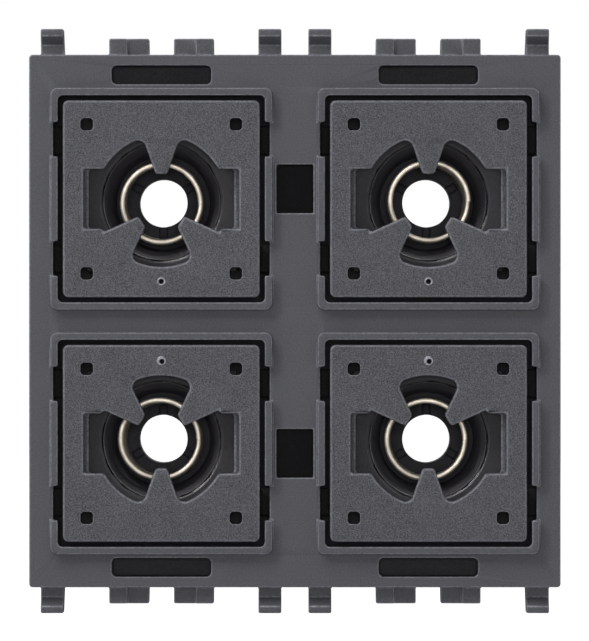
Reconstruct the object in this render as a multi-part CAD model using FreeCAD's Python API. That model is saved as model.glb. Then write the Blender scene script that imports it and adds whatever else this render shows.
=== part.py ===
import FreeCAD, Part
import math
import os

from FreeCAD import Vector

# Four-gang pushbutton insert, two modules wide, without its finger caps.
# X points right and Z up as seen from the front. Y points to the rear, so the buttons travel along +Y.
# The origin is the centre of the flange's front face. All lengths are in millimetres.

# Flange and skirt of the front frame
body_width = 44.6
body_height = 44.7
body_corner_radius = 0.3
flange_thickness = 2.0
skirt_depth = 11.0
skirt_wall = 1.0

# Cells, one for each button
cell_spread_x = 0.1
cell_inset_z = 1.85
well_opening = 17.35
well_depth = 4.0
well_wall = 0.9
well_corner_radius = 0.42
rim_wall = 0.63
rim_height = 1.0
rim_corner_radius = 0.6
leg_gate_width = 2.9
leg_gate_depth = 0.4
leg_gate_offset = 5.0

# Blind slots above and below the wells, and the two pockets on the centre line
slot_length = 8.32
slot_height = 1.57
slot_corner_radius = 0.42
slot_depth = 4.5
slot_from_edge = 1.69
pocket_width = 3.08
pocket_height = 4.08
pocket_depth = 5.0
pocket_shift_z = 0.85
moulded_wall = 0.8

# Fixing hooks and lugs on the top and bottom edges
hook_width = 1.93
hook_reach = 2.18
hook_lip = 0.59
hook_ramp = 0.75
hook_lip_front = 0.5
hook_stem_front = 1.4
hook_tip_thickness = 2.6
hook_heel = 7.0
hook_offset_from_edge = 1.92
hook_offset_from_centre = 2.1
lug_width = 3.36
lug_reach = 1.38
lug_front = 1.0
lug_step = 0.4
lug_step_width = 1.55
lug_tip_thickness = 2.2
lug_heel = 6.0
lug_offset = 2.72

# Button carriers
travel = 1.5
carrier_clearance = 0.41
carrier_set_back = 0.08
carrier_thickness = 1.52
carrier_corner_radius = 0.5
bottoming_clearance = 0.1
window_radius = 5.49
window_corner_radius = 0.68
finger_tip_radius = 2.29
top_finger_tip = 0.99
top_finger_flank = 19.4
side_finger_turn = 122.5
side_finger_near = 0.03
side_finger_far = 1.1
side_finger_near_flank = 8.1
side_finger_far_flank = 32.1
side_pocket_reach = 6.08
side_pocket_height = 5.0
side_ledge_reach = 6.5
side_ledge_depth = 1.0
peg_hole = 1.04
peg_hole_chamfer = 0.2
peg_hole_offset = 6.25
spring_locator_width = 0.6
spring_locator_height = 0.8
spring_locator_clearance = 0.3

# Snap legs of a carrier
leg_width = 2.4
leg_thickness = 0.9
leg_nose_overlap = 0.33
leg_nose_land = 0.3
leg_nose_height = 1.5
leg_catch_clearance = 0.1

# Plunger of a carrier
plunger_offset = 6.95
plunger_width = 4.0
plunger_thickness = 1.2
plunger_slot_clearance = 0.2
stake_width = 1.8
stake_thickness = 0.7
stake_head_margin = 0.35
stake_head_height = 0.4

# Spring cups, each with a lamp socket at its rear
socket_offset = 0.2
cup_mouth_radius = 5.2
cup_seat_radius = 4.0
cup_seat_depth = 13.5
cup_facets = 24
cup_wall = 0.7
cup_shelf = 12.6
cup_neck = 10.0
cup_floor = 1.2
socket_radius = 2.05
socket_wall = 0.7
socket_end = 20.0
socket_key_radius = 2.9
socket_key_width = 0.65
socket_key_depth = 1.0
socket_key_count = 3

# Return springs
spring_radius = 3.5
spring_wire = 0.4
spring_turns = 4.0
spring_closed_turns = 0.5
spring_steps = 10
spring_end_clearance = 0.02

# Case behind the flange
case_clearance = 0.1
case_wall = 0.9
case_corner_radius = 1.0
deck_front = 7.6
deck_thickness = 1.2
cup_fit_clearance = 0.05
case_rear = 21.0
stop_rib_width = 1.2
stop_rib_height = 0.8
snap_width = 4.0
snap_from_edge = 7.05
snap_rear_margin = 0.9
snap_length = 1.4
snap_height = 0.7
snap_clearance = 0.1

# Contacts and current-carrying strips
contact_spread = 3.3
contact_size = 1.6
contact_height = 0.5
contact_margin = 0.05
bridge_length = 8.2
bridge_width = 2.2
bridge_thickness = 0.4
bridge_front = 13.5
strip_thickness = 0.8
strip_pad_width = 1.8
tongue_side_gap = 0.3
tongue_past_screw = 1.4

# Terminals
output_terminal_rise = 3.9
output_wall_gap = 0.25
common_wall_gap = 0.5
cage_neck_gap = 0.15
cage_extra_width = 0.9
cage_wall = 0.7
cage_wire_room = 2.6
cage_slack = 0.35
cage_beside_screw = 0.3
screw_length = 3.25
screw_slot_width = 0.7
screw_slot_depth = 0.8
screw_hole_clearance = 0.35

# Terminal base at the rear
base_thickness = 2.0
base_clearance = 0.1
chamber_wall = 0.8
chamber_clearance = 0.15
socket_hole_clearance = 0.1
strip_post_width = 1.6

# Levels along Y that follow from the sizes above
rim_front = -rim_height
carrier_front = rim_front + carrier_set_back
carrier_rear = carrier_front + carrier_thickness
cup_mouth = carrier_rear + travel + bottoming_clearance
catch_level = well_depth + leg_catch_clearance
deck_rear = deck_front + deck_thickness
cup_floor_rear = cup_seat_depth + cup_floor
bridge_rear = bridge_front + bridge_thickness
strip_front = bridge_rear + 2 * contact_height + travel + contact_margin
strip_rear = strip_front + strip_thickness
cage_front = strip_front - cage_wire_room - cage_wall
cage_rear = strip_rear + cage_slack + cage_wall
base_front = case_rear - base_thickness

# Places and widths that follow
cell_pitch_x = body_width / 2 + cell_spread_x
cell_pitch_z = body_height / 2 - cell_inset_z
slot_offset_z = body_height / 2 - slot_from_edge
pocket_offset_z = cell_pitch_z / 2 + pocket_shift_z
snap_offset_z = body_height / 2 - snap_from_edge
snap_front = skirt_depth - snap_rear_margin - snap_length
carrier_size = well_opening - 2 * carrier_clearance
carrier_half = carrier_size / 2
rim_outer = well_opening + 2 * rim_wall
cup_outer = 2 * (cup_mouth_radius + cup_wall)
socket_outer = 2 * (socket_radius + socket_wall)
case_width = body_width - 2 * skirt_wall - 2 * case_clearance
case_height = body_height - 2 * skirt_wall - 2 * case_clearance
case_inner_width = case_width - 2 * case_wall
case_inner_height = case_height - 2 * case_wall
contact_row_z = cell_pitch_z / 2 - plunger_offset

# Each cage fills the room between a cup's neck and the case's wall
cage_outer_x = case_inner_width / 2 - output_wall_gap
cage_length = cage_outer_x - (cell_pitch_x + cup_neck) / 2 - cage_neck_gap
cage_width = cage_length + cage_extra_width
screw_radius = cage_length / 2 - cage_beside_screw
wire_entry_width = cage_width - 2 * cage_wall
output_tongue_width = wire_entry_width - 2 * tongue_side_gap
common_bar_width = output_tongue_width
output_terminal_x = cage_outer_x - cage_length / 2
output_terminal_z = contact_row_z + output_terminal_rise
common_terminal_z = case_inner_height / 2 - common_wall_gap - cage_length / 2
output_tongue_reach = output_terminal_x + tongue_past_screw
common_bar_reach = common_terminal_z + tongue_past_screw

# Each cell's suffix, and its side: right is +1 in x, up is +1 in z
CELLS = [("ul", -1, 1), ("ur", 1, 1), ("ll", -1, -1), ("lr", 1, -1)]
REARWARD = Vector(0, 1, 0)


def block(x, z, width, height, y_front, y_rear):
    """A plain block, centred on (x, z) as seen from the front."""
    corner = Vector(x - width / 2, y_front, z - height / 2)
    return Part.makeBox(width, y_rear - y_front, height, corner)


def runs_rearward(edge):
    """True for a straight edge that runs along Y."""
    start, end = edge.Vertexes[0].Point, edge.Vertexes[-1].Point
    return abs(start.x - end.x) < 1e-6 and abs(start.z - end.z) < 1e-6


def rounded_block(x, z, width, height, y_front, y_rear, radius):
    """A block whose four edges along Y are rounded."""
    solid = block(x, z, width, height, y_front, y_rear)
    return solid.makeFillet(radius, [e for e in solid.Edges if runs_rearward(e)])


def rod(x, z, radius, y_front, y_rear):
    """A round bar along Y."""
    return Part.makeCylinder(radius, y_rear - y_front, Vector(x, y_front, z), REARWARD)


def prism(points, y_front, y_rear):
    """An outline of (x, z) points, pulled along Y."""
    corners = [Vector(x, y_front, z) for x, z in points]
    face = Part.Face(Part.makePolygon(corners + corners[:1]))
    return face.extrude(Vector(0, y_rear - y_front, 0))


def side_prism(points, x_left, x_right):
    """An outline of (y, z) points, pulled along X."""
    corners = [Vector(x_left, y, z) for y, z in points]
    face = Part.Face(Part.makePolygon(corners + corners[:1]))
    return face.extrude(Vector(x_right - x_left, 0, 0))


def level_prism(points, z_low, z_high):
    """An outline of (x, y) points, pulled along Z."""
    corners = [Vector(x, y, z_low) for x, y in points]
    face = Part.Face(Part.makePolygon(corners + corners[:1]))
    return face.extrude(Vector(0, 0, z_high - z_low))


def fused(solids):
    """One clean solid from pieces that touch or overlap."""
    return solids[0].multiFuse(solids[1:]).removeSplitter()


def mirrored(solid, side_x, side_z):
    """The solid made for the upper right quarter, moved to another quarter."""
    origin = Vector(0, 0, 0)
    if side_x < 0:
        solid = solid.mirror(origin, Vector(1, 0, 0))
    if side_z < 0:
        solid = solid.mirror(origin, Vector(0, 0, 1))
    return solid


def cell_centre(side_x, side_z):
    return side_x * cell_pitch_x / 2, side_z * cell_pitch_z / 2


# Front frame


def cell_rim(x, z):
    """The raised rim round one well, still without its opening."""
    return rounded_block(x, z, rim_outer, rim_outer, rim_front, flange_thickness, rim_corner_radius)


def leg_gates(x, z):
    """The four gates of a well, two on each side, that the snap legs pass."""
    gate_span = well_opening + 2 * leg_gate_depth
    rim_span = rim_outer + 2 * rim_wall
    gates = []
    for side in (-1, 1):
        gate_z = z + side * leg_gate_offset
        gates.append(block(x, gate_z, gate_span, leg_gate_width, rim_front, deck_front))
        gates.append(block(x, gate_z, rim_span, leg_gate_width, 2 * rim_front, 0))
    return gates


def fixing_hook(x):
    """A narrow hook on the top edge: a stem, a ramp and a lip that points to the front."""
    root = body_height / 2
    tip = root + hook_reach
    lip_start = tip - hook_lip
    ramp_start = lip_start - hook_ramp
    profile = [
        (hook_stem_front, root - skirt_wall / 2),
        (hook_stem_front, ramp_start),
        (hook_lip_front, lip_start),
        (hook_lip_front, tip),
        (hook_lip_front + hook_tip_thickness, tip),
        (hook_heel, root),
        (hook_heel, root - skirt_wall / 2),
    ]
    return side_prism(profile, x - hook_width / 2, x + hook_width / 2)


def lug_profile(front):
    """The outline of a wide lug whose front face lies at the level given."""
    root = body_height / 2
    return [
        (front, root - skirt_wall / 2),
        (front, root + lug_reach),
        (lug_front + lug_step + lug_tip_thickness, root + lug_reach),
        (lug_heel, root),
        (lug_heel, root - skirt_wall / 2),
    ]


def fixing_lug(x, raised_side):
    """A wide lug on the top edge. The half on raised_side stands nearer to the front."""
    left, right = x - lug_width / 2, x + lug_width / 2
    low = side_prism(lug_profile(lug_front + lug_step), left, right)
    if raised_side < 0:
        high = side_prism(lug_profile(lug_front), left, left + lug_step_width)
    else:
        high = side_prism(lug_profile(lug_front), right - lug_step_width, right)
    return low.fuse(high)


def top_fixings():
    """The hooks and lugs of the top edge, in a row that is the same left and right."""
    outer_hook = body_width / 2 - hook_offset_from_edge
    pieces = [fixing_hook(x) for x in (outer_hook, hook_offset_from_centre)]
    cell_x = cell_pitch_x / 2
    pieces.append(fixing_lug(cell_x + lug_offset, 1))
    pieces.append(fixing_lug(cell_x - lug_offset, -1))
    return pieces + [mirrored(piece, -1, 1) for piece in pieces]


def moulded_box(x, z, width, height, depth):
    """The closed box behind the flange that holds a blind slot or pocket."""
    margin = 2 * moulded_wall
    return block(x, z, width + margin, height + margin, flange_thickness / 2, depth + moulded_wall)


def stop_ribs():
    """Ribs inside the skirt that the case's front edge butts against."""
    inner_x = body_width / 2 - skirt_wall
    inner_z = body_height / 2 - skirt_wall
    ribs = []
    for _, side_x, side_z in CELLS:
        x, z = cell_centre(side_x, side_z)
        rib_x = side_x * (inner_x - stop_rib_height / 2)
        rib_z = side_z * (inner_z - stop_rib_height / 2)
        ribs.append(block(rib_x, z, stop_rib_height, stop_rib_width, flange_thickness / 2, deck_front))
        ribs.append(block(x, rib_z, stop_rib_width, stop_rib_height, flange_thickness / 2, deck_front))
    return ribs


def front_frame():
    """Flange, skirt, wells, rims, boxes, hooks and lugs, moulded as one piece."""
    shell = rounded_block(0, 0, body_width, body_height, 0, skirt_depth, body_corner_radius)
    inner_width = body_width - 2 * skirt_wall
    inner_height = body_height - 2 * skirt_wall
    shell = shell.cut(block(0, 0, inner_width, inner_height, flange_thickness, 2 * skirt_depth))

    walls = stop_ribs()
    holes = []
    well_outer = well_opening + 2 * well_wall
    for _, side_x, side_z in CELLS:
        x, z = cell_centre(side_x, side_z)
        slot_z = side_z * slot_offset_z
        walls.append(cell_rim(x, z))
        walls.append(block(x, z, well_outer, well_outer, flange_thickness / 2, well_depth))
        walls.append(moulded_box(x, slot_z, slot_length, slot_height, slot_depth))
        holes.append(rounded_block(x, z, well_opening, well_opening, 2 * rim_front, deck_front,
                                   well_corner_radius))
        holes.append(blind_slot(x, slot_z))
        holes.extend(leg_gates(x, z))
    for side_z in (-1, 1):
        pocket_z = side_z * pocket_offset_z
        walls.append(moulded_box(0, pocket_z, pocket_width, pocket_height, pocket_depth))
        holes.append(block(0, pocket_z, pocket_width, pocket_height, rim_front, pocket_depth))
        for fixing in top_fixings():
            walls.append(mirrored(fixing, 1, side_z))

    frame = fused([shell] + walls)
    frame = frame.cut(Part.makeCompound(holes + snap_windows()))
    return frame.removeSplitter()


def blind_slot(x, z):
    """The cutter of a blind slot with rounded ends."""
    return rounded_block(x, z, slot_length, slot_height, 0, slot_depth, slot_corner_radius)


def snap_windows():
    """Windows in the skirt's left and right walls, for the noses of the case."""
    margin = 2 * snap_clearance
    windows = []
    for _, side_x, side_z in CELLS:
        x = side_x * (body_width / 2 - skirt_wall / 2)
        z = side_z * snap_offset_z
        front = snap_front - snap_clearance
        rear = snap_front + snap_length + snap_clearance
        windows.append(block(x, z, 2 * skirt_wall, snap_width + margin, front, rear))
    return windows


# Button carriers


def finger(near, far, near_flank, far_flank):
    """A finger that points down onto the socket's axis from above, widening as it rises.

    Its tip runs from near to far, measured to the right, and its flanks lean outwards by the angles given.
    """
    rise = window_radius * 2
    low, high = finger_tip_radius, finger_tip_radius + rise
    near_root = near - rise * math.tan(math.radians(near_flank))
    far_root = far + rise * math.tan(math.radians(far_flank))
    return prism([(near, low), (far, low), (far_root, high), (near_root, high)], carrier_front, carrier_rear)


def turned_by(solid, degrees):
    """The solid, turned clockwise about the Y axis as seen from the front."""
    copy = solid.copy()
    copy.rotate(Vector(0, 0, 0), REARWARD, degrees)
    return copy


def window_fingers():
    """The three fingers that reach over the spring, round the socket's axis."""
    half = top_finger_tip / 2
    top = finger(-half, half, top_finger_flank, top_finger_flank)
    side = finger(side_finger_near, side_finger_far, side_finger_near_flank, side_finger_far_flank)
    right = turned_by(side, side_finger_turn)
    return [top, right, mirrored(right, -1, 1)]


def window_cutter():
    """What is cut out of a carrier's plate: a disc and the side pockets, less the fingers."""
    disc = rod(0, 0, window_radius, carrier_front, carrier_rear)
    pockets = block(0, socket_offset, 2 * side_pocket_reach, side_pocket_height, carrier_front, carrier_rear)
    cutter = disc.fuse(pockets)
    for piece in window_fingers():
        cutter = cutter.cut(piece)
    return cutter.removeSplitter()


def is_lobe_corner(edge):
    """True for an edge along Y where a finger's flank meets the window's round outline."""
    if not runs_rearward(edge):
        return False
    point = edge.Vertexes[0].Point
    radius = math.hypot(point.x, point.z)
    return abs(radius - window_radius) < 0.02 and abs(point.x) < side_pocket_reach / 2


def rounded_window():
    cutter = window_cutter()
    return cutter.makeFillet(window_corner_radius, [e for e in cutter.Edges if is_lobe_corner(e)])


def side_ledges():
    """The shallow steps at the outer ends of the side pockets."""
    width = side_ledge_reach - side_pocket_reach
    middle = side_pocket_reach + width / 2
    floor = carrier_front + side_ledge_depth
    ledge = block(middle, socket_offset, width, side_pocket_height, carrier_front, floor)
    return [ledge, mirrored(ledge, -1, 1)]


def spring_locators():
    """The stub under each finger's tip that keeps the spring on its axis."""
    outer = spring_radius - spring_wire - spring_locator_clearance
    height = outer - finger_tip_radius
    middle = (outer + finger_tip_radius) / 2
    side_middle = (side_finger_near + side_finger_far) / 2
    rear = carrier_rear + spring_locator_height
    top = block(0, middle, spring_locator_width, height, carrier_rear, rear)
    side = block(side_middle, middle, spring_locator_width, height, carrier_rear, rear)
    right = turned_by(side, side_finger_turn)
    return [top, right, mirrored(right, -1, 1)]


def snap_leg(side_x, side_z):
    """A leg behind the plate's edge, with a nose that catches behind the well."""
    outer = carrier_half
    inner = outer - leg_thickness
    nose_tip = well_opening / 2 + leg_gate_depth + leg_nose_overlap
    nose_rear = catch_level + leg_nose_height
    profile = [
        (inner, carrier_rear),
        (outer, carrier_rear),
        (outer, catch_level),
        (nose_tip, catch_level),
        (nose_tip, catch_level + leg_nose_land),
        (outer, nose_rear),
        (inner, nose_rear),
    ]
    leg_z = side_z * leg_gate_offset
    leg = level_prism(profile, leg_z - leg_width / 2, leg_z + leg_width / 2)
    return mirrored(leg, side_x, 1)


def plunger():
    """The post that reaches through the deck and carries the contact bridge, with its stake."""
    post = block(0, -plunger_offset, plunger_width, plunger_thickness, carrier_rear, bridge_front)
    stake = block(0, -plunger_offset, stake_width, stake_thickness, bridge_front, bridge_rear)
    margin = 2 * stake_head_margin
    head = block(0, -plunger_offset, stake_width + margin, stake_thickness + margin,
                 bridge_rear, bridge_rear + stake_head_height)
    return fused([post, stake, head])


def peg_holes():
    """Four square holes with trimmed corners, for the pegs of the finger cap."""
    half, trimmed = peg_hole / 2, peg_hole / 2 - peg_hole_chamfer
    outline = [
        (-trimmed, -half), (trimmed, -half), (half, -trimmed), (half, trimmed),
        (trimmed, half), (-trimmed, half), (-half, trimmed), (-half, -trimmed),
    ]
    holes = []
    for side_x in (-1, 1):
        for side_z in (-1, 1):
            hole = prism(outline, carrier_front, carrier_rear)
            hole.translate(Vector(side_x * peg_hole_offset, 0, side_z * peg_hole_offset))
            holes.append(hole)
    return holes


def carrier():
    """A button carrier of the top row, in the cell's own frame."""
    size = carrier_size
    plate = rounded_block(0, 0, size, size, carrier_front, carrier_rear, carrier_corner_radius)
    window = Part.makeCompound([rounded_window()] + side_ledges())
    window.translate(Vector(0, 0, -socket_offset))
    pieces = [plate.cut(window).cut(Part.makeCompound(peg_holes())), plunger()]
    for stub in spring_locators():
        stub.translate(Vector(0, 0, -socket_offset))
        pieces.append(stub)
    for side_x in (-1, 1):
        for side_z in (-1, 1):
            pieces.append(snap_leg(side_x, side_z))
    return fused(pieces)


def in_cell(solid, side_x, side_z):
    """A piece of the top row's cell, moved to its cell. The bottom row's are turned half round."""
    copy = turned_by(solid, 0 if side_z > 0 else 180)
    x, z = cell_centre(side_x, side_z)
    copy.translate(Vector(x, 0, z))
    return copy


# Cups, springs and case


def facet_corners(radius, y):
    """The corners of a many-sided ring that stands in for a circle about the socket's axis."""
    corners = []
    for number in range(cup_facets):
        angle = 2 * math.pi * number / cup_facets
        corners.append(Vector(radius * math.cos(angle), y, radius * math.sin(angle) - socket_offset))
    return corners


def polygon_face(corners):
    return Part.Face(Part.makePolygon(corners + corners[:1]))


def tapered_bore():
    """The cup's taper, from its mouth to the spring's seat.

    Its flats stand in for a cone, which the four cups together would pay for with thousands of triangles.
    """
    mouth = facet_corners(cup_mouth_radius, cup_mouth)
    seat = facet_corners(cup_seat_radius, cup_seat_depth)
    faces = [polygon_face(mouth[::-1]), polygon_face(seat)]
    for number in range(cup_facets):
        after = (number + 1) % cup_facets
        faces.append(polygon_face([mouth[number], mouth[after], seat[after], seat[number]]))
    return Part.makeSolid(Part.makeShell(faces))


def spring_cup():
    """A black cup that guides the spring, with the lamp's socket and its three key notches.

    Its square outside stands on the deck by a shoulder. The bores inside are round.
    """
    axis_z = -socket_offset
    tower = block(0, axis_z, cup_shelf, cup_outer, cup_mouth, deck_front)
    neck = block(0, axis_z, cup_neck, cup_neck, deck_front, cup_floor_rear)
    socket = block(0, axis_z, socket_outer, socket_outer, cup_floor_rear, socket_end)
    cutters = [tapered_bore(), rod(0, axis_z, socket_radius, cup_seat_depth, socket_end)]
    notch = block(0, -socket_key_radius / 2, socket_key_width, socket_key_radius,
                  cup_seat_depth, cup_seat_depth + socket_key_depth)
    for number in range(socket_key_count):
        cutter = turned_by(notch, number * 360 / socket_key_count)
        cutter.translate(Vector(0, 0, axis_z))
        cutters.append(cutter)
    return fused([tower, neck, socket]).cut(Part.makeCompound(cutters))


def spring_rise(turns_done):
    """How far along its length the spring is after some turns, from 0 to 1. Its end coils lie flat."""
    active = spring_turns - 2 * spring_closed_turns
    return min(max((turns_done - spring_closed_turns) / active, 0), 1)


def return_spring():
    """A helical compression spring between the carrier's fingers and the cup's seat.

    It is lofted through square sections of its wire, at even steps round each turn.
    """
    half = spring_wire / 2
    mean_radius = spring_radius - half
    front = carrier_rear + spring_end_clearance + half
    rear = cup_seat_depth - spring_end_clearance - half
    sections = []
    for step in range(round(spring_turns * spring_steps) + 1):
        turns_done = step / spring_steps
        angle = 2 * math.pi * turns_done
        y = front + (rear - front) * spring_rise(turns_done)
        corners = []
        for out, back in ((-1, -1), (1, -1), (1, 1), (-1, 1)):
            radius = mean_radius + out * half
            x = radius * math.cos(angle)
            z = radius * math.sin(angle) - socket_offset
            corners.append(Vector(x, y + back * half, z))
        sections.append(Part.makePolygon(corners + corners[:1]))
    return Part.makeLoft(sections, True, True)


def switch_case():
    """The case: a deck with four cup seats and plunger slots, and walls that run back to the base."""
    case = rounded_block(0, 0, case_width, case_height, deck_front, case_rear, case_corner_radius)
    cutters = [block(0, 0, case_inner_width, case_inner_height, deck_rear, case_rear)]
    slot_width = plunger_width + 2 * plunger_slot_clearance
    slot_thickness = plunger_thickness + 2 * plunger_slot_clearance
    for _, side_x, side_z in CELLS:
        x, z = cell_centre(side_x, side_z)
        cup_z = z - side_z * socket_offset
        seat = cup_neck + 2 * cup_fit_clearance
        cutters.append(block(x, cup_z, seat, seat, deck_front, deck_rear))
        cutters.append(block(x, side_z * contact_row_z, slot_width, slot_thickness, deck_front, deck_rear))
    cutters.extend(wire_entries())
    cutters.extend(base_windows())
    return fused([case.cut(Part.makeCompound(cutters))] + skirt_noses())


def skirt_noses():
    """Wedges on the case's left and right walls that snap into the skirt's windows."""
    wall = case_width / 2
    profile = [
        (wall - case_wall / 2, snap_front),
        (wall, snap_front),
        (wall + snap_height, snap_front + snap_length / 2),
        (wall + snap_height, snap_front + snap_length),
        (wall - case_wall / 2, snap_front + snap_length),
    ]
    low = snap_offset_z - snap_width / 2
    nose = level_prism(profile, low, low + snap_width)
    return [mirrored(nose, side_x, side_z) for _, side_x, side_z in CELLS]


def base_nose_level():
    """The front and rear levels of the noses that hold the terminal base."""
    middle = case_rear - base_thickness / 2
    return middle - snap_length / 2, middle + snap_length / 2


def base_windows():
    """Windows in the case's left and right walls, for the noses of the base."""
    front, rear = base_nose_level()
    margin = 2 * snap_clearance
    x = case_width / 2 - case_wall / 2
    window = block(x, snap_offset_z, 2 * case_wall, snap_width + margin,
                   front - snap_clearance, rear + snap_clearance)
    return [mirrored(window, side_x, side_z) for _, side_x, side_z in CELLS]


def wire_entries():
    """Openings through the case's walls, in line with the cages."""
    entries = []
    for side_x in (-1, 1):
        wall_x = side_x * (case_width - case_wall) / 2
        for side_z in (-1, 1):
            entries.append(block(wall_x, side_z * output_terminal_z, 2 * case_wall, wire_entry_width,
                                 strip_front - cage_wire_room, strip_front))
    for side_z in (-1, 1):
        wall_z = side_z * (case_height - case_wall) / 2
        entries.append(block(0, wall_z, wire_entry_width, 2 * case_wall,
                             strip_front - cage_wire_room, strip_front))
    return entries


# Contacts


def contact_tip(x, z, y_front):
    """A square silver tip, welded to a strip."""
    return block(x, z, contact_size, contact_size, y_front, y_front + contact_height)


def contact_places(side_x, side_z):
    """Where one button's pair of contacts lies: the inner one first, then the outer one."""
    x, _ = cell_centre(side_x, side_z)
    z = side_z * contact_row_z
    return [(x - side_x * contact_spread, z), (x + side_x * contact_spread, z)]


def bridge(side_x, side_z):
    """The moving bridge, staked on the plunger."""
    x, _ = cell_centre(side_x, side_z)
    z = side_z * contact_row_z
    strip = block(x, z, bridge_length, bridge_width, bridge_front, bridge_rear)
    return strip.cut(block(x, z, stake_width, stake_thickness, bridge_front, bridge_rear))


def bridge_contacts(side_x, side_z):
    """The pair of tips on the rear of a bridge."""
    return Part.makeCompound([contact_tip(x, z, bridge_rear) for x, z in contact_places(side_x, side_z)])


def fixed_contacts():
    """The eight tips on the front of the fixed strips, in one group."""
    places = []
    for _, side_x, side_z in CELLS:
        places.extend(contact_places(side_x, side_z))
    return Part.makeCompound([contact_tip(x, z, strip_front - contact_height) for x, z in places])


def common_strip():
    """The strip that joins both common terminals to the four inner contacts."""
    arm_reach = 2 * (cell_pitch_x / 2 - contact_spread) + strip_pad_width
    pieces = [block(0, 0, common_bar_width, 2 * common_bar_reach, strip_front, strip_rear)]
    for side_z in (-1, 1):
        pieces.append(block(0, side_z * contact_row_z, arm_reach, bridge_width, strip_front, strip_rear))
    return fused(pieces)


def output_strip():
    """The upper right button's strip: a contact pad and a tongue that enters the cage."""
    x, z = contact_places(1, 1)[1]
    left, right = x - strip_pad_width / 2, x + strip_pad_width / 2
    low = z - bridge_width / 2
    tongue_low = output_terminal_z - output_tongue_width / 2
    tongue_high = output_terminal_z + output_tongue_width / 2
    outline = [
        (left, low),
        (right, low),
        (right, tongue_low),
        (output_tongue_reach, tongue_low),
        (output_tongue_reach, tongue_high),
        (right, tongue_high),
        (left, tongue_high - strip_pad_width),
    ]
    return prism(outline, strip_front, strip_rear)


# Terminals


def terminals():
    """Each terminal's name, its place and whether its tunnel runs along X."""
    rows = []
    for name, side_x, side_z in CELLS:
        rows.append((name, side_x * output_terminal_x, side_z * output_terminal_z, True))
    rows.append(("top", 0, common_terminal_z, False))
    rows.append(("bottom", 0, -common_terminal_z, False))
    return rows


def across(along_x, length, width):
    """A terminal's size in X and Z, from its length along the tunnel and its width across it."""
    return (length, width) if along_x else (width, length)


def terminal_cage(x, z, along_x):
    """A cage clamp: a square tube round the strip's tongue, open at both ends."""
    outer_x, outer_z = across(along_x, cage_length, cage_width)
    inner_x, inner_z = across(along_x, 2 * cage_length, cage_width - 2 * cage_wall)
    cage = block(x, z, outer_x, outer_z, cage_front, cage_rear)
    tunnel = block(x, z, inner_x, inner_z, cage_front + cage_wall, cage_rear - cage_wall)
    return cage.cut(tunnel).cut(rod(x, z, screw_radius, cage_rear - cage_wall, cage_rear))


def terminal_screw(x, z):
    """A slotted, headless clamp screw whose tip presses on the strip."""
    rear = strip_rear + screw_length
    slot = block(x, z, 2 * screw_radius, screw_slot_width, rear - screw_slot_depth, rear)
    return rod(x, z, screw_radius, strip_rear, rear).cut(slot)


def chamber_walls(x, z, along_x):
    """The two walls on the terminal base that stand beside a cage."""
    shift = cage_width / 2 + chamber_clearance + chamber_wall / 2
    size_x, size_z = across(along_x, cage_length, chamber_wall)
    walls = []
    for side in (-1, 1):
        wall_x = x if along_x else x + side * shift
        wall_z = z + side * shift if along_x else z
        walls.append(block(wall_x, wall_z, size_x, size_z, cage_front, base_front))
    return walls


def strip_posts():
    """Posts on the terminal base that back the strips behind every contact."""
    posts = []
    for _, side_x, side_z in CELLS:
        for x, z in contact_places(side_x, side_z):
            posts.append(block(x, z, strip_post_width, strip_post_width, strip_rear, base_front))
    return posts


def terminal_base():
    """The rear plate with chamber walls, strip posts, and windows for the screws and sockets."""
    width = case_inner_width - 2 * base_clearance
    height = case_inner_height - 2 * base_clearance
    pieces = [block(0, 0, width, height, base_front, case_rear)] + strip_posts() + base_noses()
    for _, x, z, along_x in terminals():
        pieces.extend(chamber_walls(x, z, along_x))
    cutters = []
    window = 2 * (screw_radius + screw_hole_clearance)
    for _, x, z, _ in terminals():
        cutters.append(block(x, z, window, window, base_front, case_rear))
    socket_window = socket_outer + 2 * socket_hole_clearance
    for _, side_x, side_z in CELLS:
        x, z = cell_centre(side_x, side_z)
        cup_z = z - side_z * socket_offset
        cutters.append(block(x, cup_z, socket_window, socket_window, base_front, case_rear))
    return fused(pieces).cut(Part.makeCompound(cutters))


def base_noses():
    """Wedges on the base's left and right edges that snap into the case's windows."""
    front, rear = base_nose_level()
    edge = case_inner_width / 2 - base_clearance
    profile = [
        (edge - case_wall, front),
        (edge, front),
        (edge + snap_height, rear - snap_length / 2),
        (edge + snap_height, rear),
        (edge - case_wall, rear),
    ]
    low = snap_offset_z - snap_width / 2
    nose = level_prism(profile, low, low + snap_width)
    return [mirrored(nose, side_x, side_z) for _, side_x, side_z in CELLS]


def save(name, shape):
    shape.exportStep("parts/" + name + ".step")


def build():
    os.makedirs("parts", exist_ok=True)
    save("front_frame", front_frame())
    save("switch_case", switch_case())
    save("terminal_base", terminal_base())
    save("common_strip", common_strip())
    save("fixed_contacts", fixed_contacts())

    carrier_shape = carrier()
    cup_shape = spring_cup()
    spring_shape = return_spring()
    strip_shape = output_strip()
    for name, side_x, side_z in CELLS:
        save("carrier_" + name, in_cell(carrier_shape, side_x, side_z))
        save("cup_" + name, in_cell(cup_shape, side_x, side_z))
        save("spring_" + name, in_cell(spring_shape, side_x, side_z))
        save("bridge_" + name, bridge(side_x, side_z))
        save("bridge_contacts_" + name, bridge_contacts(side_x, side_z))
        save("output_strip_" + name, mirrored(strip_shape, side_x, side_z))

    for name, x, z, along_x in terminals():
        save("terminal_cage_" + name, terminal_cage(x, z, along_x))
    save("terminal_screws", Part.makeCompound([terminal_screw(x, z) for _, x, z, _ in terminals()]))


build()
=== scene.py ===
import math

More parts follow.
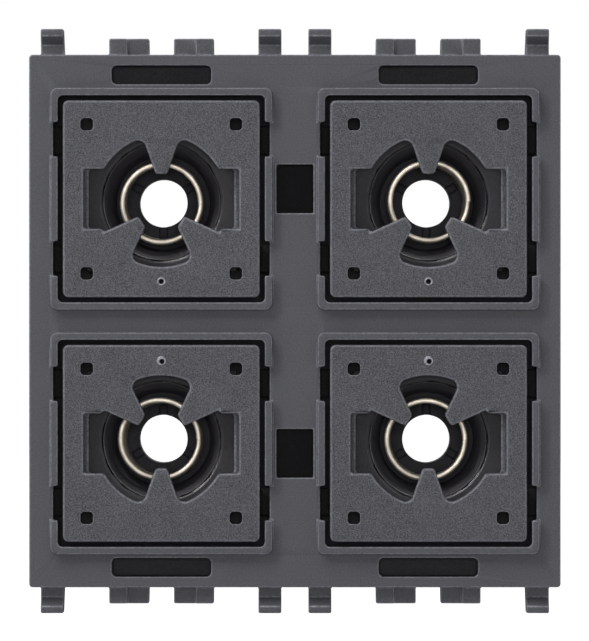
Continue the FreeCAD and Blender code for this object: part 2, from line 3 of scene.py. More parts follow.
import bmesh
import bpy
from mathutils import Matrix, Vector


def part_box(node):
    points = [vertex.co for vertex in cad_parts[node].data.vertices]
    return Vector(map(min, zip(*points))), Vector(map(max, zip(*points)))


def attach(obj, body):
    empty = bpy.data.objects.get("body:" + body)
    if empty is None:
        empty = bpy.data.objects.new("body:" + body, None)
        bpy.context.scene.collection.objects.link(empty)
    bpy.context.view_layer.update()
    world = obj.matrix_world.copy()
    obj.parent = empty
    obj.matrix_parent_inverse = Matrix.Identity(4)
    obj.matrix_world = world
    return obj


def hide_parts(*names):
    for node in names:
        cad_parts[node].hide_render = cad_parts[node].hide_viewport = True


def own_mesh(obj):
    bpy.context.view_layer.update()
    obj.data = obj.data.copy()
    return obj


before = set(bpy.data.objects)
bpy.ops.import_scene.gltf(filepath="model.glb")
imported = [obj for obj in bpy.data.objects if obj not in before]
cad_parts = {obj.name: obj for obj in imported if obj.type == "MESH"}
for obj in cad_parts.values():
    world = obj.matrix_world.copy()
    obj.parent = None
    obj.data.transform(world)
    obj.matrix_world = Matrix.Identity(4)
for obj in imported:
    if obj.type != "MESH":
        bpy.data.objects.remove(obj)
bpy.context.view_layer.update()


# Front frame: flange, skirt, four wells with raised rims, hooks and lugs.
# One injection moulding in charcoal plastic with a fine eroded grain.
# It snaps into a mounting frame by the hooks and lugs on its top and bottom edges.

MM = 0.001
CHARCOAL = (0.0765, 0.0778, 0.088)
PLASTIC_SHEEN = 0.3
GRAIN_TONES = (0.38, 0.73)
MOTTLE_PER_GRAIN = 22
MOTTLE_SHARE = 0.1
# Marked outer edges are painted paler in patches, partly wear and partly a painted highlight.
RUBBED_HIGHLIT_PATCH = 0.22 * MM
RUBBED_HIGHLIT_SHARE = (0.15, 0.85)
RUBBED_SMOOTHER = 0.36
# Inside recesses the colour is darkened as painted shade, and the roughness rises.
RECESS_PAINTED_SHADE = (0.25, 0.25, 0.25)
RECESS_DULLER = 0.3

SHARP_ANGLE = math.radians(28)
CROWN_ANGLE = math.radians(8)
SMOOTH_ANGLE = math.radians(50)
WELD_DISTANCE = 1e-7
FRAME_EDGE = 0.13 * MM
UNWORN_UNHIGHLIT_DEPTH = 0.3 * MM
WELLS_REACH_X = 21.3 * MM
WELLS_REACH_Z = 21.5 * MM
# Between these depths the wells turn darker, as painted shade.
WELLS_PAINTED_SHADE_DEPTHS = (3.9 * MM, 5.0 * MM)


def new_finish(name):
    """An empty material, with its node tree, its shader and the object's coordinates."""
    material = bpy.data.materials.new(name)
    material.use_nodes = True
    tree = material.node_tree
    return material, tree, tree.nodes["Principled BSDF"], tree.nodes.new("ShaderNodeTexCoord")


def speckle(tree, place, size, detail=2.0, roughness=0.5):
    """A noise whose grains are about the size given, in metres."""
    noise = tree.nodes.new("ShaderNodeTexNoise")
    noise.inputs["Scale"].default_value = 1 / size
    noise.inputs["Detail"].default_value = detail
    noise.inputs["Roughness"].default_value = roughness
    tree.links.new(place.outputs["Object"], noise.inputs["Vector"])
    return noise.outputs["Fac"]


def between(tree, factor, low, high, from_low=0.3, from_high=0.7):
    """A value that runs from low to high as the factor does from from_low to from_high."""
    ranged = tree.nodes.new("ShaderNodeMapRange")
    ranged.inputs["From Min"].default_value = from_low
    ranged.inputs["From Max"].default_value = from_high
    ranged.inputs["To Min"].default_value = low
    ranged.inputs["To Max"].default_value = high
    tree.links.new(factor, ranged.inputs["Value"])
    return ranged.outputs["Result"]


def reckoned(tree, way, *values):
    """A sum, a product or the like of values that are numbers or come from other nodes."""
    step = tree.nodes.new("ShaderNodeMath")
    step.operation = way
    for socket, value in zip(step.inputs, values):
        if isinstance(value, bpy.types.NodeSocket):
            tree.links.new(value, socket)
        else:
            socket.default_value = value
    return step.outputs["Value"]


def shade(colour, amount):
    """The colour made darker or lighter."""
    return tuple(channel * amount for channel in colour)


def tinted(tree, factor, dark, light, from_low=0.3, from_high=0.7):
    """A colour that runs from dark to light as the factor does."""
    ramp = tree.nodes.new("ShaderNodeValToRGB")
    ramp.color_ramp.elements[0].position = from_low
    ramp.color_ramp.elements[1].position = from_high
    ramp.color_ramp.elements[0].color = (*dark, 1)
    ramp.color_ramp.elements[1].color = (*light, 1)
    tree.links.new(factor, ramp.inputs["Fac"])
    return ramp.outputs["Color"]


def blended(tree, factor, body, colour, way="MIX"):
    """The body's colour, mixed with a plain colour as the factor says."""
    blend = tree.nodes.new("ShaderNodeMix")
    blend.data_type = "RGBA"
    blend.blend_type = way
    share, first, second, result = blend.inputs[0], blend.inputs[6], blend.inputs[7], blend.outputs[2]
    second.default_value = (*colour, 1)
    tree.links.new(factor, share)
    tree.links.new(body, first)
    return result


def bumped(tree, shader, height, depth, below=None):
    """Raises the surface as the height says, on top of another bump if there is one below."""
    bump = tree.nodes.new("ShaderNodeBump")
    bump.inputs["Strength"].default_value = 1.0
    bump.inputs["Distance"].default_value = depth
    tree.links.new(height, bump.inputs["Height"])
    if below:
        tree.links.new(below, bump.inputs["Normal"])
    tree.links.new(bump.outputs["Normal"], shader.inputs["Normal"])
    return bump.outputs["Normal"]


def recess(tree, place, shallow, deep, reach_x, reach_z):
    """How far a point lies inside the front's openings: 0 at the shallow depth, 1 at the deep one."""
    parts = tree.nodes.new("ShaderNodeSeparateXYZ")
    tree.links.new(place.outputs["Object"], parts.inputs["Vector"])
    inside = between(tree, parts.outputs["Y"], 0.0, 1.0, shallow, deep)
    for axis, reach in (("X", reach_x), ("Z", reach_z)):
        near = reckoned(tree, "LESS_THAN", reckoned(tree, "ABSOLUTE", parts.outputs[axis]), reach)
        inside = reckoned(tree, "MULTIPLY", inside, near)
    return inside


def rubbed_and_highlit_edges(tree, shader, place, body, roughness, pale):
    """Turns the marked outer edges paler, in patches, and smoother: partly wear, partly a painted
    highlight.
    """
    mark = tree.nodes.new("ShaderNodeAttribute")
    mark.attribute_name = "rubbed_and_highlit"
    patches = between(tree, speckle(tree, place, RUBBED_HIGHLIT_PATCH), *RUBBED_HIGHLIT_SHARE)
    worn_and_highlit = reckoned(tree, "MULTIPLY", mark.outputs["Fac"], patches)
    tree.links.new(blended(tree, worn_and_highlit, body, pale), shader.inputs["Base Color"])
    smoother = reckoned(tree, "MULTIPLY_ADD", mark.outputs["Fac"], -RUBBED_SMOOTHER, roughness)
    tree.links.new(smoother, shader.inputs["Roughness"])


def grained_plastic(name, colour, grain, contrast, relief, roughness, rub_and_highlight=4.2, openings=None):
    """Moulded plastic with pale specks, a slow mottling, a fine relief, and rubbed edges painted paler
    as a highlight.

    Inside the openings the colour is darkened as painted shade, and the surface is duller.
    """
    material, tree, shader, place = new_finish(name)
    grains = speckle(tree, place, grain, detail=3.0, roughness=0.65)
    mottling = speckle(tree, place, MOTTLE_PER_GRAIN * grain)
    tones = reckoned(tree, "MULTIPLY_ADD", mottling, MOTTLE_SHARE, grains)
    body = tinted(tree, tones, shade(colour, 1 - contrast), shade(colour, 1 + contrast), *GRAIN_TONES)
    dull = between(tree, mottling, roughness - 0.05, roughness + 0.06)
    if openings:
        # Painted shade: deep inside the openings the colour is darkened.
        inside = recess(tree, place, *openings)
        body = blended(tree, inside, body, RECESS_PAINTED_SHADE, "MULTIPLY")
        dull = reckoned(tree, "MULTIPLY_ADD", inside, RECESS_DULLER, dull)
    # Painted highlight and wear: the marked outer edges turn paler.
    rubbed_and_highlit_edges(tree, shader, place, body, dull, shade(colour, rub_and_highlight))
    bumped(tree, shader, grains, relief)
    shader.inputs["Specular IOR Level"].default_value = PLASTIC_SHEEN
    return material


def rounded(form, rubbed_and_highlit, edges, size, strength_mode, sheltered):
    """Rounds some edges of a form, and marks the outward ones for wear and a painted highlight unless
    they are sheltered.
    """
    done = bmesh.ops.bevel(form, geom=edges, offset=size, offset_type="OFFSET", segments=2,
                           profile=0.5, affect="EDGES", clamp_overlap=False, loop_slide=False,
                           face_strength_mode=strength_mode)
    form.normal_update()
    fresh = set(done["faces"])
    for edge in done["edges"]:
        if edge.calc_face_angle_signed(0) > CROWN_ANGLE and fresh.issuperset(edge.link_faces):
            for vert in edge.verts:
                if fresh.issuperset(vert.link_faces) and not (sheltered and sheltered(vert.co)):
                    vert[rubbed_and_highlit] = 1.0


def piece_of(form, name):
    """Turns a finished form into a piece of the scene."""
    mesh = bpy.data.meshes.new(name)
    form.to_mesh(mesh)
    form.free()
    piece = bpy.data.objects.new(name, mesh)
    bpy.context.scene.collection.objects.link(piece)
    return piece


def smoothed(piece, by_strength=True):
    """Smooth shading that keeps the sharp edges, with the flat faces staying flat."""
    for polygon in piece.data.polygons:
        polygon.use_smooth = True
    bpy.context.view_layer.objects.active = piece
    piece.select_set(True)
    bpy.ops.object.shade_smooth_by_angle(angle=SMOOTH_ANGLE)
    piece.select_set(False)
    weighted = piece.modifiers.new("flat faces stay flat", "WEIGHTED_NORMAL")
    weighted.keep_sharp = True
    weighted.use_face_influence = by_strength


def softened(node, name, edge_size, special=None, special_size=0.0, finer=None, sheltered=None):
    """A piece in the shape of a CAD node, with every sharp edge rounded as a moulding's are.

    Edges whose middle is one of the special places get a rounding of their own.
    """
    form = bmesh.new()
    form.from_mesh(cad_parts[node].data)
    bmesh.ops.remove_doubles(form, verts=form.verts, dist=WELD_DISTANCE)
    form.normal_update()
    if finer:
        finer(form)
    rubbed_and_highlit = form.verts.layers.float.new("rubbed_and_highlit")
    apart, plain = [], []
    for edge in form.edges:
        if edge.calc_face_angle(0) > SHARP_ANGLE:
            first, second = edge.verts
            kind = apart if special and special((first.co + second.co) / 2) else plain
            kind.append(edge)
    if apart:
        rounded(form, rubbed_and_highlit, apart, special_size, "ALL", sheltered)
        plain = [edge for edge in plain if edge.is_valid]
    rounded(form, rubbed_and_highlit, plain, edge_size, "AFFECTED" if apart else "ALL", sheltered)
    piece = piece_of(form, name)
    smoothed(piece)
    return piece


def dressed(piece, material, body):
    """Gives a piece its finish, and the body that it moves with."""
    piece.data.materials.append(material)
    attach(piece, body)


def inside_a_well(point):
    """True for a place behind the flange's face where nothing rubs the plastic and no edge gets a
    painted highlight.
    """
    return point.y > UNWORN_UNHIGHLIT_DEPTH and abs(point.x) < WELLS_REACH_X and abs(point.z) < WELLS_REACH_Z


# Its wells are darkened as painted shade, and its outer edges carry a painted highlight.
flange_plastic = grained_plastic("charcoal_flange_grain", CHARCOAL, grain=0.13 * MM, contrast=0.22,
                                 relief=0.008 * MM, roughness=0.6,
                                 openings=(*WELLS_PAINTED_SHADE_DEPTHS, WELLS_REACH_X, WELLS_REACH_Z))
front = softened("front_frame", "front_frame_moulding", FRAME_EDGE, sheltered=inside_a_well)
dressed(front, flange_plastic, "housing")
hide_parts("front_frame")


# Button carriers: square plates with a three-fingered window, four peg holes and four snap legs.
# Charcoal plastic with a coarser grain than the frame's, moulded through a gate beside the window.
# Each slides in its well, and is kept in by its snap legs.

CELLS = ("ul", "ur", "ll", "lr")
CARRIER_EDGE = 0.22 * MM
CARRIER_REACH = 30 * MM
# Between these depths the carriers turn darker, as painted shade.
CARRIER_PAINTED_SHADE_DEPTHS = (1.0 * MM, 4.0 * MM)
PEG_OFFSET = 6.25 * MM
PEG_HOLE_REACH = 0.6 * MM
PEG_HOLE_EDGE = 0.07 * MM

# Where each gate mark lies above the carrier's middle, its radius, and its pit's radius and lean.
GATE_MARKS = {
    "ul": (-6.93 * MM, 0.39 * MM, 0.2 * MM, 0.0),
    "ur": (-6.93 * MM, 0.38 * MM, 0.2 * MM, 0.0),
    "ll": (6.93 * MM, 0.42 * MM, 0.2 * MM, 0.06 * MM),
    "lr": (6.93 * MM, 0.42 * MM, 0.2 * MM, 0.06 * MM),
}
GATE_RISE = 0.07 * MM
GATE_SIDES = 40


def gate_mark(name, outer, pit, lean, plate):
    """The low ring that a sheared gate leaves, standing on the plate round a small pit that is painted
    dark as shade.

    The pit leans off centre, as the shears left it. The ring's crest is painted pale: partly sheared
    plastic, partly a painted highlight.
    """
    # Radius, depth, share of the lean, rubbed and highlit or not, from the ring's foot to the pit's
    # floor.
    ring = [
        (outer, plate + 0.02 * MM, 0.0, 0),
        (outer * 0.97, plate - GATE_RISE * 0.55, 0.0, 0),
        (outer * 0.86, plate - GATE_RISE, 0.0, 1),
        ((outer + pit) / 2, plate - GATE_RISE * 0.96, 0.5, 1),
        (pit * 1.3, plate - GATE_RISE, 1.0, 1),
    ]
    hollow = [
        (pit, plate - GATE_RISE * 0.6, 1.0, 0),
        (pit * 0.9, plate - 0.004 * MM, 1.0, 0),
        (pit * 0.3, plate - 0.002 * MM, 1.0, 0),
    ]
    form = bmesh.new()
    rubbed_and_highlit = form.verts.layers.float.new("rubbed_and_highlit")
    rows = []
    for side in range(GATE_SIDES):
        angle = 2 * math.pi * side / GATE_SIDES
        row = []
        for radius, y, share, pale in ring + hollow:
            vert = form.verts.new((radius * math.cos(angle) + share * lean, y,
                                   radius * math.sin(angle) - share * lean))
            vert[rubbed_and_highlit] = pale
            row.append(vert)
        rows.append(row)
    for here, there in zip(rows, rows[1:] + rows[:1]):
        for level in range(len(here) - 1):
            face = form.faces.new((here[level], here[level + 1], there[level + 1], there[level]))
            face.material_index = int(level >= len(ring))
    form.faces.new([row[-1] for row in rows]).material_index = 1
    form.faces.new([row[0] for row in rows][::-1])
    bmesh.ops.recalc_face_normals(form, faces=form.faces)
    piece = piece_of(form, name)
    smoothed(piece, by_strength=False)
    return piece


def painted_shade_pit(name):
    """The bottom of a gate mark's shallow pit, painted nearly black as shade."""
    material, tree, shader, place = new_finish(name)
    pit_shade = tinted(tree, speckle(tree, place, 0.05 * MM), (0.001, 0.001, 0.001), (0.004, 0.004, 0.004))
    tree.links.new(pit_shade, shader.inputs["Base Color"])
    shader.inputs["Roughness"].default_value = 0.9
    shader.inputs["Specular IOR Level"].default_value = 0.1
    return material


def behind_the_plate(point):
    """True for the legs and the plunger, which nothing rubs and whose edges get no painted highlight."""
    return point.y > UNWORN_UNHIGHLIT_DEPTH


# Its legs and plunger are darkened as painted shade, and its outer edges carry a painted highlight.
carrier_plastic = grained_plastic("charcoal_carrier_grain", shade(CHARCOAL, 0.96), grain=0.1 * MM,
                                  contrast=0.85, relief=0.03 * MM, roughness=0.56,
                                  openings=(*CARRIER_PAINTED_SHADE_DEPTHS, CARRIER_REACH, CARRIER_REACH))
# The gate ring's crest is painted very pale, partly sheared plastic and partly a painted highlight.
gate_plastic = grained_plastic("pale_sheared_gate_highlit", CHARCOAL, grain=0.06 * MM, contrast=0.3,
                               relief=0.01 * MM, roughness=0.5, rub_and_highlight=7.5)
pit_painted_shade = painted_shade_pit("gate_pit_painted_shade")

for cell in CELLS:
    node = "carrier_" + cell
    low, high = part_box(node)
    middle_x = (low.x + high.x) / 2
    middle_z = (low.z + high.z) / 2

    def near_a_peg_hole(point):
        """True for the edges of the four square holes that the caps' pegs enter."""
        from_peg_x = abs(abs(point.x - middle_x) - PEG_OFFSET)
        from_peg_z = abs(abs(point.z - middle_z) - PEG_OFFSET)
        return max(from_peg_x, from_peg_z) < PEG_HOLE_REACH

    carrier = softened(node, node + "_moulding", CARRIER_EDGE, near_a_peg_hole, PEG_HOLE_EDGE,
                       sheltered=behind_the_plate)
    dressed(carrier, carrier_plastic, "button_" + cell)
    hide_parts(node)

    above, outer, pit, lean = GATE_MARKS[cell]
    mark = gate_mark("gate_mark_" + cell, outer, pit, lean, low.y)
    mark.location = (middle_x, 0, middle_z + above)
    dressed(mark, gate_plastic, "button_" + cell)
    mark.data.materials.append(pit_painted_shade)


# Spring cups: tapered wells that guide the springs, with a lamp's socket at the rear.
# Black plastic, glossy and crackled at the chamfered mouth, dull down the taper, where it is painted
# paler as painted light.
# Each stands on the case's deck by a shoulder.

CUP_BLACK = (0.024, 0.022, 0.0285)
# The taper is painted paler than the mouth, as painted light.
CUP_TAPER_PAINTED_LIGHT = (0.092, 0.085, 0.106)
CUP_EDGE = 0.08 * MM
CUP_MOUTH = 2.2 * MM
CUP_MOUTH_RADIUS = 5.3 * MM
CUP_SEAT = 13.5 * MM
CUP_SEAT_RADIUS = 4.0 * MM
CUTS_PER_FLAT = 3
TAPER_DULLER = 0.55
LEVEL = 0.01 * MM

# Radius and depth of the mouth's chamfer, from its outer edge to the start of the taper, in mm.
CUP_LIP = [(5.14, 2.226), (5.07, 2.258), (5.0, 2.291), (4.93, 2.324), (4.89, 2.5)]


def turned_bore(form, middle_x, middle_z):
    """Turns the flats of a cup's bore into the cone that they stand for, with a chamfered mouth."""
    def radius(vert):
        return math.hypot(vert.co.x - middle_x, vert.co.z - middle_z)

    def rise(edge):
        return abs(edge.verts[0].co.y - edge.verts[1].co.y)

    def in_the_bore(vert):
        inner_radius = CUP_SEAT_RADIUS - 0.05 * MM
        return inner_radius < radius(vert) < CUP_MOUTH_RADIUS and vert.co.y < CUP_SEAT + LEVEL

    def on_the_taper(face):
        return abs(face.normal.y) < 0.9 and all(in_the_bore(vert) for vert in face.verts)

    def cut(edges, cuts):
        made = bmesh.ops.subdivide_edges(form, edges=edges, cuts=cuts)
        return [item for item in made["geom_inner"] if isinstance(item, bmesh.types.BMVert)]

    flats = [face for face in form.faces if on_the_taper(face)]
    bmesh.ops.join_triangles(form, faces=flats, angle_face_threshold=0.1, angle_shape_threshold=math.pi)
    on_flats = {edge for face in form.faces if on_the_taper(face) for edge in face.edges}
    rings = [edge for edge in form.edges if edge in on_flats and rise(edge) < LEVEL]
    full_radius = {round(vert.co.y, 5): radius(vert) for edge in rings for vert in edge.verts}
    for vert in cut(rings, CUTS_PER_FLAT):
        push = full_radius[round(vert.co.y, 5)] / radius(vert)
        vert.co.x = middle_x + (vert.co.x - middle_x) * push
        vert.co.z = middle_z + (vert.co.z - middle_z) * push

    depth = CUP_SEAT - CUP_MOUTH
    long_lines = [edge for edge in form.edges if abs(rise(edge) - depth) < LEVEL
                  and all(radius(vert) < CUP_MOUTH_RADIUS for vert in edge.verts)]
    for vert in cut(long_lines, len(CUP_LIP)):
        turn = math.atan2(vert.co.z - middle_z, vert.co.x - middle_x)
        step = round((vert.co.y - CUP_MOUTH) / depth * (len(CUP_LIP) + 1)) - 1
        lip_radius, lip_depth = CUP_LIP[step]
        vert.co = (middle_x + lip_radius * MM * math.cos(turn), lip_depth * MM,
                   middle_z + lip_radius * MM * math.sin(turn))
    form.normal_update()


def cup_finish(name):
    """Black moulded plastic, bright and crackled round the mouth, dull down the taper and painted paler
    there as painted light.
    """
    material, tree, shader, place = new_finish(name)
    parts = tree.nodes.new("ShaderNodeSeparateXYZ")
    tree.links.new(place.outputs["Object"], parts.inputs["Vector"])
    depth = parts.outputs["Y"]
    inward = between(tree, depth, 0.0, 1.0, CUP_MOUTH + 0.2 * MM, CUP_MOUTH + 1.0 * MM)
    rim_face = between(tree, depth, 1.0, 0.0, CUP_MOUTH + 0.003 * MM, CUP_MOUTH + 0.02 * MM)
    before_seat = between(tree, depth, 1.0, 0.0, CUP_SEAT - 0.3 * MM, CUP_SEAT - 0.1 * MM)
    crackle = speckle(tree, place, 0.14 * MM, detail=3.0, roughness=0.7)
    pits = speckle(tree, place, 0.3 * MM)

    body = tinted(tree, pits, shade(CUP_BLACK, 0.85), shade(CUP_BLACK, 1.15))
    # Painted light: down the taper the colour turns paler.
    painted_taper_light = reckoned(tree, "MULTIPLY", inward, before_seat)
    tree.links.new(blended(tree, painted_taper_light, body, CUP_TAPER_PAINTED_LIGHT), shader.inputs["Base Color"])
    dull = reckoned(tree, "MAXIMUM", inward, rim_face)
    gloss = between(tree, crackle, 0.06, 0.22)
    tree.links.new(reckoned(tree, "MULTIPLY_ADD", dull, TAPER_DULLER, gloss), shader.inputs["Roughness"])
    crackled = bumped(tree, shader, crackle, 0.025 * MM)
    bumped(tree, shader, pits, 0.01 * MM, below=crackled)
    return material


cup_plastic = cup_finish("black_cup_satin")
for cell in CELLS:
    node = "cup_" + cell
    low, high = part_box(node)
    middle_x = (low.x + high.x) / 2
    middle_z = (low.z + high.z) / 2

    def with_turned_bore(form):
        turned_bore(form, middle_x, middle_z)

    cup = softened(node, node + "_moulding", CUP_EDGE, finer=with_turned_bore)
    dressed(cup, cup_plastic, "housing")
    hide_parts(node)


# Return springs: round steel wire, wound with closed ends.
# Bare drawn wire with a warm grey sheen.
# Each stands on its cup's seat, and the carrier's three fingers rest on its front coil.

WIRE = 0.44 * MM
WIRE_TONE = (0.66, 0.6, 0.51)
WIRE_SIDES = 12
TURNS = 4.0
CLOSED_TURNS = 0.5
STEPS_PER_TURN = 48
EASED_SHARE = 0.25

# How far each spring's front coil rests off its axis, in X and Z.
FRONT_COIL_LEAN = {
    "ul": (0.0, -0.18 * MM),
    "ur": (0.08 * MM, 0.0),
    "ll": (-0.16 * MM, 0.14 * MM),
    "lr": (-0.2 * MM, 0.08 * MM),
}


def drawn_wire(name):
    """Steel wire with fine drawing lines and faint staining."""
    material, tree, shader, place = new_finish(name)
    stain = speckle(tree, place, 0.7 * MM, detail=3.0)
    lines = speckle(tree, place, 0.05 * MM, detail=1.0)
    body = tinted(tree, stain, shade(WIRE_TONE, 0.82), shade(WIRE_TONE, 1.15))
    tree.links.new(body, shader.inputs["Base Color"])
    tree.links.new(between(tree, lines, 0.46, 0.6), shader.inputs["Roughness"])
    bumped(tree, shader, lines, 0.004 * MM)
    shader.inputs["Metallic"].default_value = 1.0
    return material


def coil(name, low, high, lean):
    """A helical spring of round wire that fills the box given, with a flat half turn at each end.

    Its front coil rests a little off the axis, by the lean given.
    """
    radius = (high.x - low.x) / 2 - WIRE / 2
    axis_x = (low.x + high.x) / 2
    axis_z = (low.z + high.z) / 2
    front, rear = low.y + WIRE / 2, high.y - WIRE / 2
    form = bmesh.new()
    rings = []
    for step in range(round(TURNS * STEPS_PER_TURN) + 1):
        turns = step / STEPS_PER_TURN
        rise = min(max((turns - CLOSED_TURNS) / (TURNS - 2 * CLOSED_TURNS), 0), 1)
        eased = rise * rise * (3 - 2 * rise)
        rise = eased * EASED_SHARE + rise * (1 - EASED_SHARE)
        angle = 2 * math.pi * turns
        ring = []
        for side in range(WIRE_SIDES):
            around = 2 * math.pi * side / WIRE_SIDES
            out = radius + WIRE / 2 * math.cos(around)
            x = axis_x + lean[0] * (1 - rise) + out * math.cos(angle)
            y = front + (rear - front) * rise + WIRE / 2 * math.sin(around)
            z = axis_z + lean[1] * (1 - rise) + out * math.sin(angle)
            ring.append(form.verts.new((x, y, z)))
        rings.append(ring)
    for here, there in zip(rings, rings[1:]):
        for side in range(WIRE_SIDES):
            after = (side + 1) % WIRE_SIDES
            form.faces.new((here[side], here[after], there[after], there[side]))
    form.faces.new(rings[0][::-1])
    form.faces.new(rings[-1])
    bmesh.ops.recalc_face_normals(form, faces=form.faces)
    piece = piece_of(form, name)
    smoothed(piece, by_strength=False)
    return piece


spring_wire = drawn_wire("drawn_spring_wire")
for cell in CELLS:
    node = "spring_" + cell
    low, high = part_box(node)
    spring = coil(node + "_wire", low, high, FRONT_COIL_LEAN[cell])
    dressed(spring, spring_wire, "housing")
    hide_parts(node)
    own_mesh(spring)


# Case and terminal base: the box behind the frame, and the plate that closes it.
# Black plastic with a fine sparked texture, and the marks of the ejector pins on the base.
# The case snaps into the frame's skirt, and the base snaps into the case.

CASE_BLACK = (0.038, 0.036, 0.043)
BASE_GREY = (0.045, 0.046, 0.05)
CASE_EDGE = 0.15 * MM
EJECTOR_MARKS = [(17.3 * MM, 17.3 * MM), (3.6 * MM, 11.2 * MM)]
EJECTOR_RADIUS = 1.2 * MM
EJECTOR_EDGE = 0.2 * MM
EJECTOR_DEPTH = 0.14 * MM
EJECTOR_DULLER = 0.16


def ejector_marked(material):
    """Sinks the round marks of the ejector pins into a plate, alike in each of its quarters."""
    tree = material.node_tree
    shader = tree.nodes["Principled BSDF"]
    place = tree.nodes["Texture Coordinate"]
    folded = tree.nodes.new("ShaderNodeVectorMath")
    folded.operation = "ABSOLUTE"
    tree.links.new(place.outputs["Object"], folded.inputs[0])
    flat = tree.nodes.new("ShaderNodeVectorMath")
    flat.operation = "MULTIPLY"
    flat.inputs[1].default_value = (1, 0, 1)
    tree.links.new(folded.outputs["Vector"], flat.inputs[0])
    for x, z in EJECTOR_MARKS:
        away = tree.nodes.new("ShaderNodeVectorMath")
        away.operation = "DISTANCE"
        away.inputs[1].default_value = (x, 0, z)
        tree.links.new(flat.outputs["Vector"], away.inputs[0])
        raised = between(tree, away.outputs["Value"], 0.0, 1.0,
                         EJECTOR_RADIUS, EJECTOR_RADIUS + EJECTOR_EDGE)
        dull = shader.inputs["Roughness"].links[0].from_socket
        grain = shader.inputs["Normal"].links[0].from_socket
        duller = reckoned(tree, "MULTIPLY_ADD", raised, EJECTOR_DULLER, dull)
        tree.links.new(duller, shader.inputs["Roughness"])
        bumped(tree, shader, raised, EJECTOR_DEPTH, below=grain)


case_plastic = grained_plastic("black_case_texture", CASE_BLACK, grain=0.16 * MM, contrast=0.2,
                               relief=0.01 * MM, roughness=0.75)
case = softened("switch_case", "switch_case_moulding", CASE_EDGE)
dressed(case, case_plastic, "housing")
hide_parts("switch_case")

base_plastic = grained_plastic("grey_base_texture", BASE_GREY, grain=0.16 * MM, contrast=0.2,
                               relief=0.01 * MM, roughness=0.3)
ejector_marked(base_plastic)
base = softened("terminal_base", "terminal_base_moulding", CASE_EDGE)
dressed(base, base_plastic, "housing")
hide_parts("terminal_base")


# Strips and bridges: what carries the current from the terminals to the contacts.
# Stamped brass with a patchy sheen, and square silver tips welded on it.
# The strips lie on posts of the base, and each bridge is staked on a carrier's plunger.

BRASS = (0.6, 0.42, 0.17)
SILVER = (0.82, 0.81, 0.78)
PATCH_PER_GRAIN = 8
METAL_RELIEF = 0.003 * MM


def metal(name, colour, roughness, grain, contrast=0.12):
    """Plain metal with a patchy sheen and a fine relief."""
    material, tree, shader, place = new_finish(name)
    patches = speckle(tree, place, PATCH_PER_GRAIN * grain, detail=3.0)
    body = tinted(tree, patches, shade(colour, 1 - contrast), shade(colour, 1 + contrast))
    tree.links.new(body, shader.inputs["Base Color"])
    dull = between(tree, patches, roughness - 0.06, roughness + 0.1)
    tree.links.new(dull, shader.inputs["Roughness"])
    bumped(tree, shader, speckle(tree, place, grain), METAL_RELIEF)
    shader.inputs["Metallic"].default_value = 1.0
    return material


def refinished(node, material):
    """A CAD node that keeps its own shape and gets a finer material."""
    for material_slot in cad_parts[node].material_slots:
        material_slot.material = material


brass = metal("stamped_brass", BRASS, 0.3, 0.12 * MM)
silver = metal("silver_tips", SILVER, 0.22, 0.08 * MM)
refinished("common_strip", brass)
refinished("fixed_contacts", silver)
for cell in CELLS:
    refinished("output_strip_" + cell, brass)
    refinished("bridge_" + cell, brass)
    refinished("bridge_contacts_" + cell, silver)


# Terminals: six cage clamps, each with a slotted screw that is reached from the rear.
# Steel with a zinc coat, slightly spangled.
# The cages sit between walls of the base, round the ends of the strips.

ZINC = (0.6, 0.6, 0.58)
SCREW_EDGE = 0.1 * MM

zinc = metal("zinc_coat", ZINC, 0.34, 0.1 * MM, contrast=0.18)
for terminal in (*CELLS, "top", "bottom"):
    refinished("terminal_cage_" + terminal, zinc)
screws = softened("terminal_screws", "terminal_screws_steel", SCREW_EDGE)
dressed(screws, zinc, "housing")
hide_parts("terminal_screws")


# Floor and room: a plain white floor in an evenly lit white room.
# The floor lies a little below the hooks, so that the shadow stays out of the front view.
# The camera sees it lifted towards white, and further off as white as the room behind it.

FLOOR_Z = -30 * MM
FLOOR_REACH = 6
FLOOR_WHITE = (0.85, 0.85, 0.85, 1)
NEAR_LIFT, FAR_LIFT = 0.55, 0.87
LIFT_STARTS, LIFT_ENDS = 90 * MM, 300 * MM
ROOM_LIGHT = 0.2

floor_form = bmesh.new()
bmesh.ops.create_grid(floor_form, x_segments=1, y_segments=1, size=FLOOR_REACH)
floor = piece_of(floor_form, "floor")
floor.location = (0, 0, FLOOR_Z)

white_paper, paper, shader, place = new_finish("white_floor")
shader.inputs["Base Color"].default_value = FLOOR_WHITE
shader.inputs["Roughness"].default_value = 0.9
shader.inputs["Specular IOR Level"].default_value = 0.0
shader.inputs["Emission Color"].default_value = (1, 1, 1, 1)
away = paper.nodes.new("ShaderNodeVectorMath")
away.operation = "LENGTH"
paper.links.new(place.outputs["Object"], away.inputs[0])
lift = between(paper, away.outputs["Value"], NEAR_LIFT, FAR_LIFT, LIFT_STARTS, LIFT_ENDS)
rays = paper.nodes.new("ShaderNodeLightPath")
seen_lift = reckoned(paper, "MULTIPLY", rays.outputs["Is Camera Ray"], lift)
paper.links.new(seen_lift, shader.inputs["Emission Strength"])
floor.data.materials.append(white_paper)

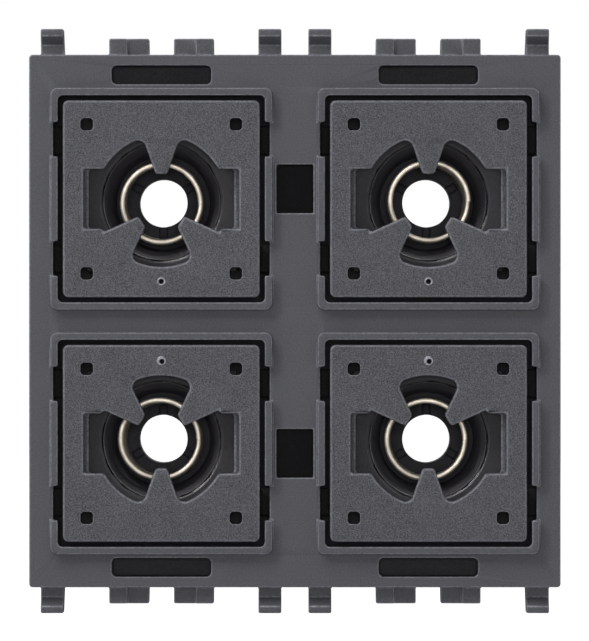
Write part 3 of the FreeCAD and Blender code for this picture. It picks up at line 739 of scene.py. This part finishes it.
room = bpy.data.worlds.new("white_room")
room.use_nodes = True
bpy.context.scene.world = room
walls = room.node_tree
rays = walls.nodes.new("ShaderNodeLightPath")
seen = reckoned(walls, "MAXIMUM", rays.outputs["Is Camera Ray"], rays.outputs["Is Transmission Ray"])
seen = reckoned(walls, "MAXIMUM", seen, rays.outputs["Is Glossy Ray"])
background = walls.nodes["Background"]
background.inputs["Color"].default_value = (1, 1, 1, 1)
walls.links.new(between(walls, seen, ROOM_LIGHT, 1.0, 0.0, 1.0), background.inputs["Strength"])


# Lamps and camera: a key lamp above on the left, a small one beside it that sparks the edges,
# a soft one straight in front, and one behind for the rear.
# The camera stands far off, straight in front, as the photograph shows through each hole.

VIEW_DISTANCE = 840 * MM
PHOTO_HEIGHT = 53.78 * MM
SENSOR = 36
CAMERA_X = -0.034 * MM
CAMERA_Z = 0.05 * MM


def soft_lamp(name, place, size, power):
    """A square lamp that faces the middle of the flange."""
    lamp = bpy.data.lights.new(name, "AREA")
    lamp.shape = "SQUARE"
    lamp.size = size
    lamp.energy = power
    holder = bpy.data.objects.new(name, lamp)
    holder.location = place
    holder.rotation_euler = (-Vector(place)).to_track_quat("-Z", "Y").to_euler()
    bpy.context.scene.collection.objects.link(holder)


soft_lamp("key_lamp", (-0.127, -0.212, 0.314), size=0.16, power=0.56)
soft_lamp("spark_lamp", (-0.235, -0.257, 0.197), size=0.06, power=0.36)
soft_lamp("front_lamp", (0, -1.0, 0.02), size=0.12, power=2.2)
soft_lamp("rear_lamp", (0.3, 0.9, 0.6), size=0.6, power=3)

camera_data = bpy.data.cameras.new("camera")
camera_data.sensor_width = SENSOR
camera_data.lens = SENSOR * VIEW_DISTANCE / PHOTO_HEIGHT
camera_data.clip_start = 0.01
camera_data.clip_end = 20
camera = bpy.data.objects.new("camera", camera_data)
camera.location = (CAMERA_X, -VIEW_DISTANCE, CAMERA_Z)
camera.rotation_euler = (math.pi / 2, 0, 0)
bpy.context.scene.collection.objects.link(camera)
bpy.context.scene.camera = camera
bpy.context.scene.view_settings.view_transform = "Standard"
